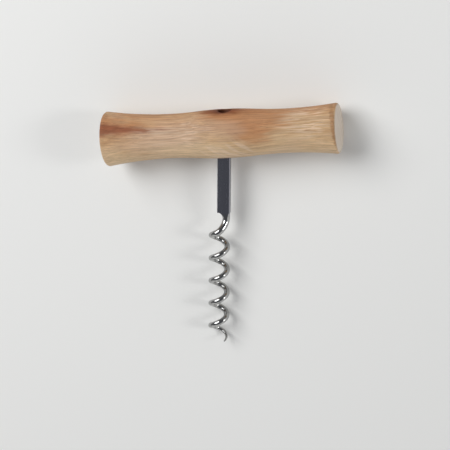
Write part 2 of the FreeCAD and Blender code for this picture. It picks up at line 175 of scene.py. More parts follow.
class ScrewSettings(bpy.types.PropertyGroup):
    """Sizes and colours of the one-piece steel screw and the washer on its tang."""

    bar_width: length("Bar width", 5.4 * MM, "Flat bar, along the handle")
    bar_thickness: length("Bar thickness", 3.2 * MM, "Flat bar, front to back")
    bar_edge: length("Bar edge", 0.35 * MM, "Rounding of the bar's long edges")
    bar_reach: length("Bar reach", 34.9 * MM, "From the handle's axis to the bar's lower end")
    mortise_depth: length("Mortise depth", 4.0 * MM, "How far the bar sits in the handle")
    mortise_gap: length("Mortise gap", 0.05 * MM, "Between the bar and its mortise")
    tang_width: length("Tang", 2.8 * MM, "Diameter of the round tang above the bar")
    bore_gap: length("Bore gap", 0.1 * MM, "Between the tang and its bore or washer")
    washer_gap: length("Washer gap", 0.15 * MM, "Between the washer and its recess")
    washer_thickness: length("Washer", 0.8 * MM, "Thickness of the washer")
    head_width: length("Head", 4.2 * MM, "Diameter of the tang's peened head")
    head_height: length("Head height", 0.9 * MM, "Height of the peened head's dome")
    wire_width: length("Wire", 2.45 * MM, "Diameter of the worm's wire")
    neck_width: length("Neck", 3.2 * MM, "Diameter of the wire where the neck ends")
    neck_length: length("Neck length", 2.7 * MM, "From the bar's end to the round neck")
    neck_offset: length("Neck offset", 1.0 * MM, "From the bar's axis to the neck's")
    shoulder: length("Shoulder", 0.25 * MM, "Ledge left round the neck at the bar's end")
    lead_in: length("Lead-in", 5.7 * MM, "From the bar's end to where the turns begin")
    coil_width: length("Worm", 9.2 * MM, "Outside diameter of the worm")
    coil_pitch: length("Pitch", 10.4 * MM, "From one coil to the next")
    coil_offset: length("Worm offset", COIL_OFFSET, "From the bar's axis to the worm's")
    point_width: length("Point", 0.7 * MM, "Diameter left at the ground point")
    # Both plates are darker than bare nickel: painted shade for the dark surroundings they reflect,
    # the bar's darker and bluer still.
    plating: colour("Plating", "#a8a8a7", "Bright nickel plate of the wire")
    shaded_bar_plate: colour("Bar plating", "#9a9aa3", "Nickel plate over the rolled bar")
    washer_steel: colour("Washer steel", "#8f8d8a", "Plain dull steel of the washer")


class StageSettings(bpy.types.PropertyGroup):
    """Where the camera stands, seen from the tool, and the pale studio round it."""

    yaw: angle("Yaw", 12.27, "How far the camera stands towards the handle's right end")
    elevation: angle("Elevation", 19.11, "How far it stands above the flat of the bar")
    roll: angle("Roll", 0.44, "How far the picture is turned clockwise")
    distance: length("Distance", 785.0 * MM, "From the handle's middle to the camera")
    pixel: length("Pixel", 0.42 * MM, "Width of one pixel of the photograph at the tool")
    floor: colour("Floor", "#ececea", "Plain pale floor")
    near_wall: colour("Near wall", "#f4f4f2", "Studio walls on the lower right of the picture")
    far_wall: colour("Far wall", "#6a6a6c", "Studio walls on the upper left")
    ceiling: colour("Ceiling", "#5a5c60", "Dark ceiling, straight above")


# The tool's origin in the photograph's 450 x 450 frame.
ORIGIN_PIXEL = (224.5, 133.5)

SLIMMING_TURNS = 0.5  # turns by which the wire has slimmed from the neck's width
POINT_TURNS = 0.6  # turns over which the wire is ground to a point
BLEND_TURNS = 0.28  # turns at which the lead-in has bent into the coil
SQUARENESS = 7.0  # exponent of the neck's outline at the bar, where 2 is a circle
MORTISE_WEAR = 0.15 * MM  # bevel of the mortise's edge in the wood

UNROLLED_RADIUS = 10.0  # millimetres, of the round that the wood's marks are laid out on
RING_SPACING = 2.6  # millimetres between growth lines
WAVE_UNIT = 0.3142  # scale at which a wave texture repeats once a unit

FLOOR_HALF = 3.0  # metres from the floor's middle to its edge
FLOOR_GAP = 0.02 * MM  # between the floor and what the tool touches
STUDIO_STRENGTH = 1.2
NEAR_SIDE = (0.6, -0.8, 0.0)  # towards the pale walls

# The soft lamps: direction from the tool, distance and width in metres, power in watts.
LAMPS = {
    "key_lamp": ((-0.55, 0.45, 0.75), 1.2, 0.8, 12.0),
    "side_lamp": ((0.85, 0.15, 0.5), 1.2, 0.25, 2.5),
}


def placed(points):
    """Points of the tool's frame put where the tool lies: its origin plus x, y and z, each
    along its own axis. Every array of points has x, y and z last."""
    axes = np.array([ACROSS, SHANK_UP, FRONT])
    return np.array(ORIGIN) + points @ axes


def from_handle(x, y, z):
    """Points given along, above and in front of the handle's own axis, in the tool's frame:
    x and y turned by the cant."""
    cos, sin = math.cos(CANT), math.sin(CANT)
    return np.stack([x * cos - y * sin, x * sin + y * cos, z], axis=-1)


def new_object(name, data):
    """A new object of the scene that shows this data."""
    shown = bpy.data.objects.new(name, data)
    bpy.context.scene.collection.objects.link(shown)
    return shown


def numbered(grid):
    """The vertex numbers of a grid of points, row by row."""
    return np.arange(grid[..., 0].size).reshape(grid.shape[:2])


def grid_faces(index):
    """Quads between neighbouring rows of a grid of vertex numbers that closes on itself."""
    right = np.roll(index, -1, axis=1)
    quads = np.stack([index[:-1], index[1:], right[1:], right[:-1]], axis=-1)
    return quads.reshape(-1, 4)


def pole_faces(index):
    """Triangles from a grid's first and last rows to its poles, the two vertices after it."""
    return np.concatenate([
        np.stack([row, np.roll(row, -1), np.full_like(row, pole)], axis=-1)
        for row, pole in ((index[0], index.size), (index[-1], index.size + 1))
    ])


def make_piece(name, points, quads, triangles, attributes=None):
    """A closed mesh of quads and triangles, with no stray points and its faces outwards."""
    corners = np.concatenate([quads.ravel(), triangles.ravel()])
    used, renumbered = np.unique(corners, return_inverse=True)
    quads, triangles = np.split(renumbered, [quads.size])
    faces = quads.reshape(-1, 4).tolist() + triangles.reshape(-1, 3).tolist()
    mesh = bpy.data.meshes.new(name)
    mesh.from_pydata(placed(points[used]), [], faces)
    for key, values in (attributes or {}).items():
        attribute = mesh.attributes.new(key, "FLOAT", "POINT")
        attribute.data.foreach_set("value", values[used].astype(np.float32))
    shell = bmesh.new()
    shell.from_mesh(mesh)
    bmesh.ops.recalc_face_normals(shell, faces=shell.faces)
    shell.to_mesh(mesh)
    shell.free()
    mesh.shade_smooth()
    mesh.set_sharp_from_angle(angle=SHARP_ANGLE)
    return new_object(name, mesh)


def level_arc(x, flat, other):
    """Radius at x on the arc that is level at the point flat and passes through other.

    The arc's own radius is (dx squared + dy squared) / (2 dy), and it is negative where the
    arc bends towards the axis.
    """
    dx, dy = other[0] - flat[0], other[1] - flat[1]
    bend = (dx * dx + dy * dy) / (2 * dy)
    inside = np.clip(bend * bend - (x - flat[0]) ** 2, 0, None)
    return flat[1] + bend - math.copysign(1, bend) * np.sqrt(inside)


def flare_foot(end_x, end_radius, waist, rounding):
    """Where the flare meets the rounded end edge, and the flare's slope there.

    The edge's arc touches both the flare and the end face, so its foot lies
    rounding * (1 + sine of the slope) in from the face, and the slope follows from the arc
    that is level at the waist: both are settled in rounds.
    """
    inwards = math.copysign(1, waist[0] - end_x)
    sine = 0.0
    for _ in range(SETTLING_ROUNDS):
        foot = end_x + inwards * rounding * (1 + sine)
        dx, dy = foot - waist[0], end_radius - waist[1]
        sine = abs(dx) * 2 * dy / (dx * dx + dy * dy)
    return foot, math.asin(sine)


class TurnedForm:
    """The handle's turned outline: radius as a function of the place along the axis."""

    def __init__(self, sizes):
        self.rounding = sizes.end_round
        self.belly = (0.0, sizes.belly_radius)
        self.waists = (
            (-sizes.left_waist_at, sizes.left_waist_radius),
            (sizes.right_waist_at, sizes.right_waist_radius),
        )
        self.ends = (-sizes.left_length, sizes.right_length)
        self.feet, self.slopes = [], []
        for end_x, end_radius, waist in zip(
            self.ends, (sizes.left_end_radius, sizes.right_end_radius), self.waists
        ):
            foot, slope = flare_foot(end_x, end_radius, waist, self.rounding)
            self.feet.append((foot, end_radius))
            self.slopes.append(slope)

    def radius(self, x):
        """Six arcs, level at both waists and the belly, that change bend midway between."""
        left, right = self.waists
        left_bend, right_bend = (
            tuple((a + b) / 2 for a, b in zip(waist, self.belly)) for waist in self.waists
        )
        bounds = [left[0], left_bend[0], 0.0, right_bend[0], right[0]]
        arcs = [
            level_arc(x, flat, other) for flat, other in (
                (left, self.feet[0]), (left, left_bend), (self.belly, left_bend),
                (self.belly, right_bend), (right, right_bend), (right, self.feet[1]),
            )
        ]
        return np.choose(np.searchsorted(bounds, x), arcs)

    def end_rows(self, end_x, foot, slope):
        """Place, radius and share of end grain from the flare's foot to near the centre.

        The rounded edge turns from the flare's slope to square across, and the share of end
        grain is the part of the surface's direction that lies along the axis.
        """
        outwards = math.copysign(1, end_x - foot[0])
        turn = np.linspace(-slope, math.pi / 2, ROUND_STEPS + 1)[1:]
        centre_x = end_x - outwards * self.rounding
        centre_r = foot[1] - self.rounding * math.cos(slope)
        share = np.linspace(1, 0, FACE_RINGS + 1)[1:-1]
        x = np.concatenate([centre_x + outwards * self.rounding * np.sin(turn), 0 * share + end_x])
        r = np.concatenate([centre_r + self.rounding * np.cos(turn), centre_r * share])
        grain = np.concatenate([np.clip(np.sin(turn), 0, 1), 0 * share + 1])
        return x, r, grain


def surface_loop(form, side, x, z):
    """Where lines along the shank, at x and z of the tool's frame, leave the handle's surface.

    Gives the place along the handle's axis, the angle round it, measured from the front
    towards the top, and the height. Side +1 is where they leave through the top, -1 through
    the bottom.
    """
    height = np.full_like(x, side * form.belly[1])
    for _ in range(SETTLING_ROUNDS):
        along = x * math.cos(CANT) + height * math.sin(CANT)
        above = side * np.sqrt(form.radius(along) ** 2 - z ** 2)
        height = (above + x * math.sin(CANT)) / math.cos(CANT)
    return along, np.arctan2(above, z), height


def hole_loops(form, side, border, outlines, depths):
    """Loops of points from a window's border down over the worn edge of the hole in it.

    border holds places along the axis and angles round it. The first loops lie on the turned
    surface, evenly spread from the border to the hole's outermost outline, and each further
    outline lies as far under that surface as its depth says.
    """
    loops = []
    hole_x, hole_angle, _ = surface_loop(form, side, *outlines[0])
    hole_angle = border[1] + (hole_angle - border[1] + math.pi) % (2 * math.pi) - math.pi
    for share in np.linspace(0, 1, WINDOW_RINGS + 1)[1:-1]:
        x = border[0] + share * (hole_x - border[0])
        around = border[1] + share * (hole_angle - border[1])
        r = form.radius(x)
        loops.append(from_handle(x, r * np.sin(around), r * np.cos(around)))
    for (x, z), depth in zip(outlines, depths):
        height = surface_loop(form, side, x, z)[2]
        loops.append(np.stack([x, height - side * depth, z], axis=-1))
    return loops


def window_outline(half_x, half_z, oval):
    """A closed outline in x and z that goes round with a window's border, corner to corner.

    It is the oval through the half widths, or the rectangle. Its points keep step with the
    cells along the window's four sides.
    """
    step = np.arange(4 * WINDOW_CELLS) / WINDOW_CELLS
    side, way = np.divmod(step, 1.0)
    way = 2 * way - 1
    x = np.choose(side.astype(int), [way, 1, -way, -1])
    z = np.choose(side.astype(int), [1, -way, -1, way])
    turn = math.radians(135) - step * math.pi / 2
    if oval:
        x, z = np.cos(turn), np.sin(turn)
    return half_x * x, half_z * z


def build_handle(sizes, screw):
    """The turned handle, holed right through along the shank.

    Its surface is a grid: row by row along the outline from pole to pole, column by column
    round the axis. The point of an angle is radius * sine above the axis and radius * cosine
    in front of it. Two windows are left out of the grid, at the top and the bottom. Loops
    lead from the top window down the recess, the bore and the mortise to the bottom window.
    """
    form = TurnedForm(sizes)
    rows = round((form.feet[1][0] - form.feet[0][0]) / STATION)
    flank_x = np.linspace(form.feet[0][0], form.feet[1][0], rows + 1)
    left, right = (np.array(form.end_rows(*end)) for end in zip(form.ends, form.feet, form.slopes))
    flank = np.array([flank_x, form.radius(flank_x), 0 * flank_x])
    x, r, grain = np.concatenate([left[:, ::-1], flank, right], axis=1)
    around = 2 * math.pi * np.arange(AROUND) / AROUND
    ring_x, ring_r = x[:, None] + 0 * around, r[:, None]
    body = from_handle(ring_x, ring_r * np.sin(around), ring_r * np.cos(around))
    index = numbered(body)
    poles = from_handle(np.array(form.ends), np.zeros(2), np.zeros(2))

    borders, keep = [], np.ones((len(x) - 1, AROUND), bool)
    step, still = np.arange(WINDOW_CELLS), np.zeros(WINDOW_CELLS, int)
    far = still + WINDOW_CELLS
    for side in (1, -1):
        crossing = side * form.belly[1] * math.tan(CANT)
        row = np.searchsorted(x, crossing) - WINDOW_CELLS // 2
        column = (2 - side) * AROUND // 4 - side * WINDOW_CELLS // 2
        borders.append((
            row + np.concatenate([step, far, far - step, still]),
            column + side * np.concatenate([still, step, far, far - step]),
        ))
        first = min(column, column + side * WINDOW_CELLS)
        keep[row:row + WINDOW_CELLS, first:first + WINDOW_CELLS] = False

    bore = screw.tang_width / 2 + screw.bore_gap
    recess = sizes.recess_width / 2
    seat_x = screw.bar_width / 2 + screw.mortise_gap
    seat_z = screw.bar_thickness / 2 + screw.mortise_gap
    floor_y = form.belly[1] - sizes.recess_depth
    seat_y = screw.mortise_depth - form.belly[1]
    turn = np.linspace(0, math.pi / 2, RIM_STEPS + 1)
    spread = sizes.rim_wear * (1 - np.sin(turn))
    sunk = sizes.rim_wear * (1 - np.cos(turn))
    top = hole_loops(
        form, 1, (x[borders[0][0]], around[borders[0][1]]),
        [window_outline(recess + s, recess + s, True) for s in spread], sunk,
    )
    bottom = hole_loops(
        form, -1, (x[borders[1][0]], around[borders[1][1]]),
        [window_outline(seat_x + s, seat_z + s, False) for s in (MORTISE_WEAR, 0.0)],
        (0.0, MORTISE_WEAR),
    )
    inside = []
    for half_x, half_z, oval, height in (
        (recess, recess, True, floor_y), (bore, bore, True, floor_y),
        (bore, bore, True, seat_y), (seat_x, seat_z, False, seat_y),
    ):
        loop_x, loop_z = window_outline(half_x, half_z, oval)
        inside.append(np.stack([loop_x, np.full_like(loop_x, height), loop_z], axis=-1))
    loops = np.array(top + inside + bottom[::-1])
    loop_index = index.size + 2 + numbered(loops)
    lining = np.concatenate([index[borders[0]][None], loop_index, index[borders[1]][None]])

    points = np.concatenate([body.reshape(-1, 3), poles, loops.reshape(-1, 3)])
    quads = np.concatenate([grid_faces(index)[keep.ravel()], grid_faces(lining)])
    end_share = np.concatenate([np.repeat(grain, AROUND), np.ones(2), np.zeros(loop_index.size)])
    outside = np.zeros(WINDOW_RINGS - 1)
    bored = np.concatenate([outside, sunk / sizes.rim_wear, np.ones(len(inside) + 2), outside])
    bored = np.concatenate([np.zeros(index.size + 2), np.repeat(bored, loops.shape[1])])
    shares = {"end_share": end_share, "bored": bored}
    return make_piece("turned_handle", points, quads, pole_faces(index), shares)


def rounded_rectangle(count, half_width, half_height, rounding):
    """x and y of points round a rectangle whose corners are quarter circles."""
    turn = 2 * math.pi * (np.arange(count) + 0.5) / count
    cos, sin = np.cos(turn), np.sin(turn)
    x = np.sign(cos) * (half_width - rounding) + rounding * cos
    y = np.sign(sin) * (half_height - rounding) + rounding * sin
    return x, y


def superellipse(half_width, half_height, power):
    """Outlines with |x / half width| ^ power + |y / half height| ^ power = 1, one a row."""
    turn = 2 * math.pi * (np.arange(WIRE_COLUMNS) + 0.5) / WIRE_COLUMNS
    share = 2 / np.asarray(power)[:, None]
    cos, sin = np.cos(turn)[None], np.sin(turn)[None]
    x = np.sign(cos) * np.abs(cos) ** share * np.asarray(half_width)[:, None]
    y = np.sign(sin) * np.abs(sin) ** share * np.asarray(half_height)[:, None]
    return np.stack([x, y], axis=-1)


def sections(centre, side, up, outline):
    """Rows of points: each centre plus its outline laid out along its side and up arrows."""
    return centre[:, None] + outline[..., :1] * side[:, None] + outline[..., 1:] * up[:, None]


def level_sections(heights, outline, shift=0.0):
    """Sections straight across the shank at the given heights, moved sideways by shift."""
    heights = np.asarray(heights, float)
    centre = np.stack([heights * 0 + shift, heights, heights * 0], axis=-1)
    return sections(centre, np.array([[1.0, 0.0, 0.0]]), np.array([[0.0, 0.0, 1.0]]), outline)


def unit(vectors):
    """Vectors divided by their lengths."""
    return vectors / np.linalg.norm(vectors, axis=-1, keepdims=True)


def coil_line(sizes, turns):
    """The wire's centre line, a right-hand helix about an axis left of the bar's: x and z go
    round a circle while y falls by the pitch in each turn."""
    radius = (sizes.coil_width - sizes.wire_width) / 2
    spin = 2 * math.pi * turns
    drop = sizes.bar_reach + sizes.lead_in + sizes.coil_pitch * turns
    centre = np.stack(
        [radius * np.cos(spin) - sizes.coil_offset, -drop, radius * np.sin(spin)], axis=-1
    )
    fall = np.full_like(spin, -sizes.coil_pitch / (2 * math.pi))
    along = np.stack([-radius * np.sin(spin), fall, radius * np.cos(spin)], axis=-1)
    return centre, unit(along)


def lead_in_line(sizes, share):
    """The cubic that leaves the neck straight down and runs into the coil.

    It is the sum of both ends and both pulls, each times its Hermite polynomial of share.
    """
    start = np.array([sizes.neck_offset, -sizes.bar_reach - sizes.neck_length, 0.0])
    end, end_along = (v[0] for v in coil_line(sizes, np.array([BLEND_TURNS])))
    reach = np.linalg.norm(end - start)
    pull, end_pull = np.array([0.0, -reach, 0.0]), end_along * reach
    s = share[:, None]
    centre = (
        start * (2 * s**3 - 3 * s**2 + 1) + pull * (s**3 - 2 * s**2 + s)
        + end * (3 * s**2 - 2 * s**3) + end_pull * (s**3 - s**2)
    )
    along = (
        start * (6 * s**2 - 6 * s) + pull * (3 * s**2 - 4 * s + 1)
        + end * (6 * s - 6 * s**2) + end_pull * (3 * s**2 - 2 * s)
    )
    return centre, unit(along)


def wire_radius(sizes, turns, last):
    """The wire slims from the neck's width to its own, and is ground to a point at its end."""
    slimmed = np.clip(turns / SLIMMING_TURNS, 0, 1)
    width = sizes.neck_width + (sizes.wire_width - sizes.neck_width) * slimmed
    left_to_go = np.clip((last - turns) / POINT_TURNS, 0, 1)
    return (sizes.point_width + (width - sizes.point_width) * left_to_go) / 2


def wire_sections(sizes, last):
    """Round sections down the lead-in, round the coil and over the blunt tip of the point.

    Each section's side arrow starts out along the bar's width and turns with the coil, so
    that the columns of the grid run on without a twist.
    """
    share = np.linspace(0, 1, LEAD_IN_ROWS)
    rows = round((last - BLEND_TURNS) * TURN_ROWS)
    turns = np.linspace(BLEND_TURNS, last, rows + 1)[1:]
    tip = np.linspace(0, math.pi / 2, DOME_ROWS)[1:-1]
    lead_centre, lead_along = lead_in_line(sizes, share)
    coil_centre, coil_along = coil_line(sizes, turns)
    end_centre, end_along = coil_centre[-1], coil_along[-1]
    end_radius = sizes.point_width / 2
    centre = np.concatenate([
        lead_centre, coil_centre, end_centre + end_radius * np.sin(tip)[:, None] * end_along,
    ])
    along = np.concatenate([lead_along, coil_along, np.tile(end_along, (len(tip), 1))])
    radius = np.concatenate([
        wire_radius(sizes, BLEND_TURNS * share, last), wire_radius(sizes, turns, last),
        end_radius * np.cos(tip),
    ])
    spin = 2 * math.pi * np.concatenate([BLEND_TURNS * share, turns, 0 * tip + last])
    outward = np.stack([np.cos(spin), 0 * spin, np.sin(spin)], axis=-1)
    side = unit(outward - along * np.sum(outward * along, axis=-1, keepdims=True))
    up = np.cross(along, side)
    rows = sections(centre, side, up, superellipse(radius, radius, 0 * radius + 2))
    return rows, end_centre + end_radius * end_along


def neck_sections(sizes):
    """From the rounded rectangle under the bar to the round wire towards its right.

    The left side comes in along a quarter of an ellipse, as a fillet does.
    """
    turn = np.linspace(0, math.pi / 2, NECK_ROWS)[:-1]
    fall = 1 - np.cos(turn)
    wire = sizes.neck_width / 2
    root_width = sizes.bar_width / 2 - sizes.shoulder
    root_height = sizes.bar_thickness / 2 - sizes.shoulder / 2
    left = -root_width + (sizes.neck_offset - wire + root_width) * np.sin(turn)
    right = root_width + (sizes.neck_offset + wire - root_width) * fall
    height = root_height + (wire - root_height) * fall
    power = 2 + (SQUARENESS - 2) * (1 - fall) ** 2
    outline = superellipse((right - left) / 2, height, power)
    heights = -sizes.bar_reach - sizes.neck_length * fall
    return level_sections(heights, outline, (left + right) / 2)


def build_screw(sizes, handle):
    """The steel screw, one closed tube of sections from the peened head down to the point."""
    last = (POINT_DROP - sizes.bar_reach - sizes.lead_in) / sizes.coil_pitch
    seat_y = sizes.mortise_depth - handle.belly_radius
    head_y = handle.belly_radius - handle.recess_depth + sizes.washer_thickness
    head, tang = sizes.head_width / 2, sizes.tang_width / 2

    # The head's dome is a cap of a ball whose radius is (head^2 + height^2) / (2 height).
    ball = (head ** 2 + sizes.head_height ** 2) / (2 * sizes.head_height)
    cap = np.linspace(0, math.asin(head / ball), DOME_ROWS)[1:]
    dome_y = head_y + sizes.head_height - ball * (1 - np.cos(cap))
    round_y = np.concatenate([dome_y, [head_y, head_y, seat_y]])
    round_r = np.concatenate([ball * np.sin(cap), [head, tang, tang]])
    top = level_sections(round_y, superellipse(round_r, round_r, 0 * round_r + 2))

    outline = np.stack(rounded_rectangle(
        WIRE_COLUMNS, sizes.bar_width / 2, sizes.bar_thickness / 2, sizes.bar_edge
    ), axis=-1)
    bar = level_sections([seat_y, -sizes.bar_reach], outline[None])
    wire, tip = wire_sections(sizes, last)
    rows = np.concatenate([top, bar, neck_sections(sizes), wire])
    index = numbered(rows)
    crown = (0.0, head_y + sizes.head_height, 0.0)
    points = np.concatenate([rows.reshape(-1, 3), [crown, tip]])
    return make_piece("steel_screw", points, grid_faces(index), pole_faces(index))


def build_washer(sizes, handle):
    """The washer: its rounded section, a closed loop of radius and height, turned once."""
    inner = sizes.tang_width / 2 + sizes.bore_gap
    outer = handle.recess_width / 2 - sizes.washer_gap
    half_thick = sizes.washer_thickness / 2
    r, y = rounded_rectangle(
        WASHER_OUTLINE, (outer - inner) / 2, half_thick, sizes.washer_gap / 2
    )
    r = r[:, None] + (inner + outer) / 2
    y = y[:, None] + handle.belly_radius - handle.recess_depth + half_thick
    spin = 2 * math.pi * np.arange(WASHER_COLUMNS) / WASHER_COLUMNS
    rows = np.stack([r * np.cos(spin), y + 0 * spin, r * np.sin(spin)], axis=-1)
    index = numbered(rows)
    index = np.concatenate([index, index[:1]])
    no_triangles = np.zeros((0, 3), int)
    return make_piece("tang_washer_ring", rows.reshape(-1, 3), grid_faces(index), no_triangles)


def add(tree, kind, feeds=None, out=0, stops=None, **settings):
    """Adds a shader node with its settings, feeds its inputs, and gives one of its outputs.

    A feed is either a value or another node's output. stops are a ramp's places and greys.
    """
    node = tree.nodes.new("ShaderNode" + kind)
    for key, value in settings.items():
        setattr(node, key, value)
    for socket, value in (feeds or {}).items():
        if isinstance(value, bpy.types.NodeSocket):
            tree.links.new(value, node.inputs[socket])
        else:
            node.inputs[socket].default_value = value
    for i, (place, grey) in enumerate(stops or []):
        elements = node.color_ramp.elements
        element = elements[i] if i < 2 else elements.new(place)
        element.position = place
        element.color = (grey, grey, grey, 1)
    return node.outputs[out] if len(node.outputs) else None


def new_material(name):
    """An empty node material and its tree."""
    material = bpy.data.materials.new(name)
    material.use_nodes = True
    tree = material.node_tree
    tree.nodes.clear()
    return material, tree


def in_millimetres(tree, right, up):
    """Object coordinates in millimetres from the tool's origin, along right, up and front."""
    turned = Matrix((right, up, FRONT)).transposed()
    place = add(tree, "TexCoord", out=3)
    return add(
        tree, "Mapping",
        {"Vector": place, "Location": ORIGIN, "Rotation": turned.to_euler(),
         "Scale": (MM, MM, MM)},
        vector_type="TEXTURE",
    )


def layer(tree, base, shade, value, low, high, strength=1.0, **settings):
    """A shade laid over the base, from none where value is low up to its strength at high."""
    share = add(
        tree, "MapRange",
        {"Value": value, "From Min": low, "From Max": high, "To Max": strength}, **settings,
    )
    return add(tree, "Mix", {0: share, 6: base, 7: shade}, out=2, data_type="RGBA")


def streaks(tree, place, run, spacing, detail=3.0):
    """Noise drawn out along the handle: marks of that run and spacing, in millimetres."""
    stretched = add(
        tree, "VectorMath",
        {0: place, 1: (1 / run, 1 / spacing, 1 / spacing)}, operation="MULTIPLY",
    )
    return add(
        tree, "TexNoise",
        {"Vector": stretched, "Scale": 1.0, "Detail": detail, "Roughness": 0.55},
    )


def mark(tree, unrolled, raggedness, strength, centre, end, half_width,
         ragged=0.5, pointed=False, pattern=1.0):
    """How much of a mark on the wood covers a point: its strength in its core, 0 outside.

    unrolled is the surface laid flat: millimetres along the handle and, on the unrolled
    radius, round it from the front upwards. The mark runs from its centre to its end, and as
    far to the other side. It is oval, or a lens that narrows evenly to a point. Its edge
    fades over half its width, and is ragged by a share of that width. It shows only where
    its pattern does.
    """
    run = Vector((end[0] - centre[0], end[1] - centre[1], 0))
    across = Vector((-run.y, run.x, 0)).normalized() / half_width
    moved = add(tree, "VectorMath", {0: unrolled, 1: (*centre, 0)}, operation="SUBTRACT")
    gone, aside = (
        add(tree, "VectorMath", {0: moved, 1: way}, out=1, operation="DOT_PRODUCT")
        for way in (run / run.length_squared, across)
    )
    shares = add(tree, "CombineXYZ", {0: gone, 1: aside})
    if pointed:
        shares = add(tree, "VectorMath", {0: shares}, operation="ABSOLUTE")
        both = {0: shares, 1: (1, 1, 0)}
        distance = add(tree, "VectorMath", both, out=1, operation="DOT_PRODUCT")
    else:
        distance = add(tree, "VectorMath", {0: shares}, out=1, operation="LENGTH")
    total = add(tree, "Math", {0: raggedness, 1: 2 * ragged, 2: distance}, operation="MULTIPLY_ADD")
    cover = add(
        tree, "MapRange",
        {"Value": total, "From Min": 1.5 + ragged, "From Max": 0.5 + ragged,
         "To Max": strength},
        interpolation_type="SMOOTHSTEP",
    )
    return add(tree, "Math", {0: cover, 1: pattern}, operation="MULTIPLY")


def wandering(tree, place):
    """The place in the wood's growth, which sways 2.5 mm aside over the handle's length."""
    slow = add(tree, "VectorMath", {0: place, 1: (0.014, 0.05, 0.05)}, operation="MULTIPLY")
    drift = add(tree, "TexNoise", {"Vector": slow, "Scale": 1.0, "Detail": 2.0}, out=1)
    aside = {0: drift, 1: (0, 5, 5), 2: (0, -2.5, -2.5)}
    sway = add(tree, "VectorMath", aside, operation="MULTIPLY_ADD")
    return add(tree, "VectorMath", {0: place, 1: sway}, operation="ADD")


def growth_rings(tree, grown):
    """Late wood's share, ring by ring, about a pith below and behind the handle, askew to it."""
    about_pith = add(
        tree, "Mapping",
        {"Vector": grown, "Location": (0, 17, 12),
         "Rotation": (0, math.radians(3), math.radians(-4))},
    )
    rings = add(
        tree, "TexWave",
        {"Vector": about_pith, "Scale": WAVE_UNIT / RING_SPACING, "Distortion": 1.6,
         "Detail": 2.0, "Detail Scale": 1.0},
        out=1, wave_type="RINGS", rings_direction="X", wave_profile="SAW",
    )
    stops = [(0.0, 0.1), (1.0, 0.0), (0.55, 0.35), (0.86, 1.0)]
    return add(tree, "ValToRGB", {0: rings}, stops=stops)


def marked(tree, base, place, grown, tones):
    """The base with this handle's own marks: broad areas, then heartwood, a warm brown area round
    the recess, painted dark shade at the recess, and last painted sheen: pale lines where the
    fibres catch the light."""
    x, y, z = add(tree, "SeparateXYZ", {0: place}).node.outputs
    around = add(tree, "Math", {0: y, 1: z}, operation="ARCTAN2")
    round_mm = add(tree, "Math", {0: around, 1: UNROLLED_RADIUS}, operation="MULTIPLY")
    unrolled = add(tree, "CombineXYZ", {0: x, 1: round_mm})
    ragged = streaks(tree, grown, 9.0, 1.8)
    slanted = add(
        tree, "Mapping",
        {"Vector": unrolled, "Rotation": (0, 0, math.radians(40)), "Location": (0, 0, 3)},
    )
    sheen_lines, slants = (
        add(tree, "MapRange", {"Value": noise, "From Min": low, "From Max": high},
            interpolation_type="SMOOTHSTEP")
        for noise, low, high in (
            (streaks(tree, grown, 24.0, 0.5, detail=1.0), 0.45, 0.62),
            (streaks(tree, slanted, 14.0, 2.6, detail=2.0), 0.44, 0.66),
        )
    )
    # The amber marks along the top, 13 to 16 mm round, and the pale marks along the bottom, 5 to 8
    # mm below the front, are partly the wood's own tone and partly painted light: shade painted on
    # the top, light painted on the underside.
    for shade, strength, centre, end, half_width, *character in (
        (tones.amber, 0.4, (-20, 12), (10, 11), 7.0),
        (tones.amber, 0.4, (-34, 16), (-20, 16), 5.0),
        (tones.amber, 0.7, (38, 16), (54, 16), 6.5),
        (tones.amber, 0.3, (-46, 2), (-32, 1), 4.5),
        (tones.pale, 0.6, (-50, -7), (-35, -8), 6.0),
        (tones.rosy, 0.6, (-25, 0), (-8, -0.5), 6.0),
        (tones.pale, 0.7, (-11, -5.5), (8, -5), 5.5),
        (tones.pale, 0.45, (34, -5.5), (52, -5), 5.5),
        (tones.amber, 0.85, (12, 9.5), (29, 9), 7.0),
        (tones.amber, 0.7, (13, 2), (21, 1), 4.5, 0.6),
        (tones.rosy, 0.6, (-20, 4), (-7, 4.5), 5.0, 0.6),
        (tones.rosy, 0.5, (1, 4), (10, 4), 4.5),
        (tones.amber, 0.75, (-54, 9), (-29, 7.5), 4.6, 0.5, True),
        (tones.heart, 0.9, (-54, 6.3), (-25, 5.6), 3.1, 0.5, True),
        (tones.amber, 0.8, (1, 13), (-8, 13), 4.5),
        (tones.amber, 0.9, (12, 16), (28, 14), 4.0, 0.6, True),
        (tones.heart, 0.8, (-11, 17.5), (-8.6, 17.5), 1.8),
        # A warm brown area round the recess.
        (tones.recess_brown, 0.9, (1, 15), (10, 15.2), 3.6),
        # Painted shade on the recess's front lip.
        (tones.hole_shade, 0.7, (0.2, 14.8), (3.4, 14.8), 2.6, 0.4),
        # A darker brown band round the right end's rounded edge, from the front over the top, in
        # the late wood's colour.
        (tones.latewood, 0.85, (47.9, 5), (46.3, 18), 0.9, 1.2),
        # Painted sheen, along the fibre lines and in slanted lines.
        (tones.painted_sheen, 0.6, (36, 6.5), (46.5, 6), 8.0, 0.4, False, sheen_lines),
        (tones.painted_sheen, 0.4, (-21, 3.5), (-7, 4), 6.0, 0.4, False, sheen_lines),
        (tones.painted_sheen, 0.6, (3, -6.5), (16, -6.5), 6.5, 0.4, False, slants),
    ):
        cover = mark(tree, unrolled, ragged, strength, centre, end, half_width, *character)
        base = add(tree, "Mix", {0: cover, 6: base, 7: shade}, out=2, data_type="RGBA")
    return base


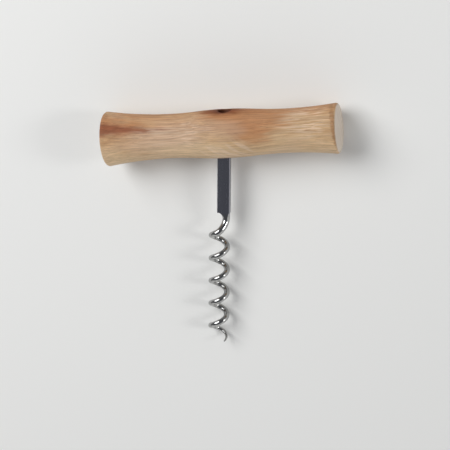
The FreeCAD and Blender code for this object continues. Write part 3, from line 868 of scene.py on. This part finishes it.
def wood_material(tones):
    """Acacia, turned, sanded and thinly oiled: tan sapwood with fibre lines 0.8 mm apart along
    it, growth lines 2 to 3 mm apart that run out in slanting tongues, brown streaks of
    heartwood, and a low, soft shine."""
    material, tree = new_material("turned_acacia")
    place = in_millimetres(tree, HANDLE_AXIS, FRONT.cross(HANDLE_AXIS))
    grown = wandering(tree, place)
    ring_tone = growth_rings(tree, grown)
    fine = streaks(tree, grown, 16.0, 0.45, detail=2.0)

    # Tan sapwood with paler and rosier areas, then the growth lines.
    base = tones.sapwood
    for value, low, high, strength, shade in (
        (streaks(tree, grown, 34.0, 7.0, detail=2.0), 0.42, 0.64, 1.0, tones.pale),
        (streaks(tree, grown, 17.0, 6.0, detail=2.0), 0.45, 0.72, 0.55, tones.rosy),
        (ring_tone, 0.0, 1.0, 0.42, tones.latewood),
    ):
        base = layer(tree, base, shade, value, low, high, strength)
    base = marked(tree, base, place, grown, tones)

    # Fibre lines lighten and darken everything a little, and pores are short dark dashes.
    light = 1.0
    for value, low, high, dark, pale in (
        (streaks(tree, grown, 32.0, 0.8), 0.34, 0.66, 0.83, 1.05),
        (fine, 0.36, 0.64, 0.87, 1.08),
        (streaks(tree, grown, 3.2, 0.22, detail=1.0), 0.25, 0.38, 0.72, 1.0),
    ):
        tone = add(
            tree, "MapRange",
            {"Value": value, "From Min": low, "From Max": high, "To Min": dark,
             "To Max": pale},
        )
        light = add(tree, "Math", {0: light, 1: tone}, operation="MULTIPLY")
    base = add(tree, "VectorMath", {0: base, "Scale": light}, operation="SCALE")

    # Sawn end faces are paler and greyer, with faint growth rings, and the bored holes have
    # painted shade, a dark brown laid inside them and down their worn rims.
    ring_light = add(tree, "MapRange", {"Value": ring_tone, "To Min": 1.03, "To Max": 0.84})
    sawn = add(tree, "VectorMath", {0: tones.end_grain[:3], "Scale": ring_light}, operation="SCALE")
    for attribute, low, high, strength, shade in (
        ("end_share", 0.6, 0.98, 0.9, sawn),
        ("bored", 0.2, 0.9, 0.93, tones.hole_shade),
    ):
        share = add(tree, "Attribute", out=2, attribute_name=attribute)
        base = layer(tree, base, shade, share, low, high, strength)

    bump = add(tree, "Bump", {"Height": light, "Strength": 0.35, "Distance": 0.05 * MM})
    rough = add(tree, "MapRange", {"Value": fine, "To Min": 0.72, "To Max": 0.6})
    shader = add(
        tree, "BsdfPrincipled",
        {"Base Color": base, "Roughness": rough, "Normal": bump, "IOR": 1.4},
    )
    add(tree, "OutputMaterial", {"Surface": shader})
    return material


def plated_material(tones):
    """Bright nickel plate, its colours darkened as painted shade for the dark surroundings it
    reflects. On the cold-drawn wire it is smooth, with sharp reflections; on the rolled bar it
    follows the draw marks, fine lines about 0.4 mm apart along the shank, and is satiny, its
    painted shade darker and bluer still."""
    material, tree = new_material("nickel_plated_steel")
    place = in_millimetres(tree, ACROSS, SHANK_UP)
    height = add(tree, "SeparateXYZ", {0: place}, out=1)
    bar_end = -tones.bar_reach / MM
    on_bar = add(
        tree, "MapRange",
        {"Value": height, "From Min": bar_end - 1.6, "From Max": bar_end + 0.1},
    )
    stretched = add(tree, "VectorMath", {0: place, 1: (2.5, 0.06, 2.5)}, operation="MULTIPLY")
    draw_marks = add(
        tree, "TexNoise",
        {"Vector": stretched, "Scale": 1.0, "Detail": 3.0, "Roughness": 0.6},
    )
    ripple = add(tree, "TexNoise", {"Vector": place, "Scale": 0.35, "Detail": 2.0})
    bar_rough = add(tree, "MapRange", {"Value": draw_marks, "To Min": 0.16, "To Max": 0.34})
    wire_rough = add(tree, "MapRange", {"Value": ripple, "To Min": 0.07, "To Max": 0.15})
    rough = add(tree, "Mix", {0: on_bar, 2: wire_rough, 3: bar_rough}, data_type="FLOAT")
    # Both plate colours carry painted shade.
    plates = {0: on_bar, 6: tones.plating, 7: tones.shaded_bar_plate}
    shade = add(tree, "Mix", plates, out=2, data_type="RGBA")
    lines = add(tree, "Math", {0: draw_marks, 1: on_bar}, operation="MULTIPLY")
    bump = add(tree, "Bump", {"Height": lines, "Strength": 0.2, "Distance": 0.02 * MM})
    shader = add(
        tree, "BsdfPrincipled",
        {"Base Color": shade, "Metallic": 1.0, "Roughness": rough, "Normal": bump},
    )
    add(tree, "OutputMaterial", {"Surface": shader})
    return material


def washer_material(tones):
    """Plain stamped steel, unplated and handled: grey, dull, with a faint mottle of stains
    1 to 2 mm across."""
    material, tree = new_material("stamped_steel")
    place = in_millimetres(tree, ACROSS, SHANK_UP)
    mottle = add(tree, "TexNoise", {"Vector": place, "Scale": 0.7, "Detail": 4.0})
    dark = tuple(c * 0.55 for c in tones.washer_steel[:3]) + (1.0,)
    shade = add(tree, "Mix", {0: mottle, 6: dark, 7: tones.washer_steel}, out=2, data_type="RGBA")
    rough = add(tree, "MapRange", {"Value": mottle, "To Min": 0.55, "To Max": 0.35})
    shader = add(tree, "BsdfPrincipled", {"Base Color": shade, "Metallic": 1.0, "Roughness": rough})
    add(tree, "OutputMaterial", {"Surface": shader})
    return material


class CORKSCREW_OT_handle(bpy.types.Operator):
    """Build the turned wooden handle"""

    bl_idname = "corkscrew.handle"
    bl_label = "Handle"

    def execute(self, context):
        scene = context.scene
        piece = build_handle(scene.corkscrew_handle, scene.corkscrew_screw)
        piece.data.materials.append(wood_material(scene.corkscrew_handle))
        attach(piece, "root")
        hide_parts("handle")
        return {"FINISHED"}


class CORKSCREW_OT_screw(bpy.types.Operator):
    """Build the steel screw and the washer on its tang"""

    bl_idname = "corkscrew.screw"
    bl_label = "Screw and washer"

    def execute(self, context):
        scene = context.scene
        for build, material, node, slot in (
            (build_screw, plated_material, "screw", "plated_steel"),
            (build_washer, washer_material, "tang_washer", "washer_steel"),
        ):
            piece = build(scene.corkscrew_screw, scene.corkscrew_handle)
            piece.data.materials.append(material(scene.corkscrew_screw))
            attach(piece, "root")
            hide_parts(node)
        return {"FINISHED"}


def build_floor(tones):
    """A flat pale floor, far wider than the view, just under what the tool touches."""
    low = CAD_BOX[0].z - FLOOR_GAP
    half = FLOOR_HALF
    corners = [(-half, -half, low), (half, -half, low), (half, half, low), (-half, half, low)]
    mesh = bpy.data.meshes.new("floor")
    mesh.from_pydata(corners, [], [(0, 1, 2, 3)])
    floor = new_object("floor", mesh)
    material, tree = new_material("matt_paper")
    shader = add(tree, "BsdfPrincipled", {"Base Color": tones.floor, "Roughness": 0.9})
    add(tree, "OutputMaterial", {"Surface": shader})
    mesh.materials.append(material)


def build_world(tones):
    """Studio walls, pale on one side and grey on the other, under a dark ceiling."""
    world = bpy.data.worlds.new("studio")
    bpy.context.scene.world = world
    world.use_nodes = True
    tree = world.node_tree
    tree.nodes.clear()
    direction = add(tree, "TexCoord", out=0)
    height = add(tree, "SeparateXYZ", {0: direction}, out=2)
    nearness = add(tree, "VectorMath", {0: direction, 1: NEAR_SIDE}, out=1, operation="DOT_PRODUCT")
    tone = tones.far_wall
    for shade, value, low, high in (
        (tones.near_wall, nearness, -0.5, 0.5),
        (tones.ceiling, height, 0.35, 0.72),
    ):
        tone = layer(tree, tone, shade, value, low, high, interpolation_type="SMOOTHSTEP")
    background = add(tree, "Background", {"Color": tone, "Strength": STUDIO_STRENGTH})
    add(tree, "OutputWorld", {"Surface": background})


def build_lamp(name, direction, distance, width, power):
    """A square soft lamp that shines at the tool from a direction of the resting frame."""
    lamp = bpy.data.lights.new(name, "AREA")
    lamp.size = width
    lamp.energy = power
    holder = new_object(name, lamp)
    towards = Vector(direction).normalized()
    holder.location = (CAD_BOX[0] + CAD_BOX[1]) / 2 + towards * distance
    holder.rotation_euler = towards.to_track_quat("Z", "Y").to_euler()


def build_camera(stage):
    """The camera at the photograph's angle.

    It looks along a line that passes beside the tool's origin, so that the origin falls on
    its own pixel without any shift.
    """
    yaw, elevation = stage.yaw, stage.elevation
    back = (
        ACROSS * (math.sin(yaw) * math.cos(elevation))
        + SHANK_UP * math.sin(elevation)
        + FRONT * (math.cos(yaw) * math.cos(elevation))
    )
    right = ACROSS * math.cos(yaw) - FRONT * math.sin(yaw)
    up = back.cross(right)
    right, up = (
        right * math.cos(stage.roll) + up * math.sin(stage.roll),
        up * math.cos(stage.roll) - right * math.sin(stage.roll),
    )
    off_x = (ORIGIN_PIXEL[0] - IMAGE_PIXELS / 2) * stage.pixel
    off_y = (IMAGE_PIXELS / 2 - ORIGIN_PIXEL[1]) * stage.pixel
    target = ORIGIN - right * off_x - up * off_y
    data = bpy.data.cameras.new("camera")
    data.sensor_width = SENSOR
    data.lens = SENSOR * stage.distance / (IMAGE_PIXELS * stage.pixel)
    data.clip_end = 20.0
    camera = new_object("camera", data)
    camera.matrix_world = Matrix.Translation(target + back * stage.distance) @ Matrix(
        (right, up, back)
    ).transposed().to_4x4()
    bpy.context.scene.camera = camera


class CORKSCREW_OT_stage(bpy.types.Operator):
    """Set up the floor, the soft lamps, the studio's walls and the camera"""

    bl_idname = "corkscrew.stage"
    bl_label = "Stage"

    def execute(self, context):
        stage = context.scene.corkscrew_stage
        build_floor(stage)
        build_world(stage)
        for name, lamp in LAMPS.items():
            build_lamp(name, *lamp)
        build_camera(stage)
        context.scene.view_settings.view_transform = "Standard"
        return {"FINISHED"}


class CORKSCREW_PT_panel(bpy.types.Panel):
    """The corkscrew's sizes, colours and buttons"""

    bl_label = "Corkscrew"
    bl_idname = "CORKSCREW_PT_panel"
    bl_space_type = "VIEW_3D"
    bl_region_type = "UI"
    bl_category = "Corkscrew"

    def draw(self, context):
        for operator, settings in BUTTONS:
            box = self.layout.box()
            box.operator(operator.bl_idname)
            group = getattr(context.scene, settings)
            for key in group.__annotations__:
                box.prop(group, key)


BUTTONS = (
    (CORKSCREW_OT_handle, "corkscrew_handle"),
    (CORKSCREW_OT_screw, "corkscrew_screw"),
    (CORKSCREW_OT_stage, "corkscrew_stage"),
)
CLASSES = (
    HandleSettings, ScrewSettings, StageSettings, CORKSCREW_OT_handle, CORKSCREW_OT_screw,
    CORKSCREW_OT_stage, CORKSCREW_PT_panel,
)


def register():
    for cls in CLASSES:
        bpy.utils.register_class(cls)
    bpy.types.Scene.corkscrew_handle = PointerProperty(type=HandleSettings)
    bpy.types.Scene.corkscrew_screw = PointerProperty(type=ScrewSettings)
    bpy.types.Scene.corkscrew_stage = PointerProperty(type=StageSettings)


def unregister():
    del bpy.types.Scene.corkscrew_stage
    del bpy.types.Scene.corkscrew_screw
    del bpy.types.Scene.corkscrew_handle
    for cls in reversed(CLASSES):
        bpy.utils.unregister_class(cls)


def main():
    """Builds every piece and the stage."""
    register()
    bpy.ops.corkscrew.handle()
    bpy.ops.corkscrew.screw()
    bpy.ops.corkscrew.stage()


if __name__ == "__main__":
    main()
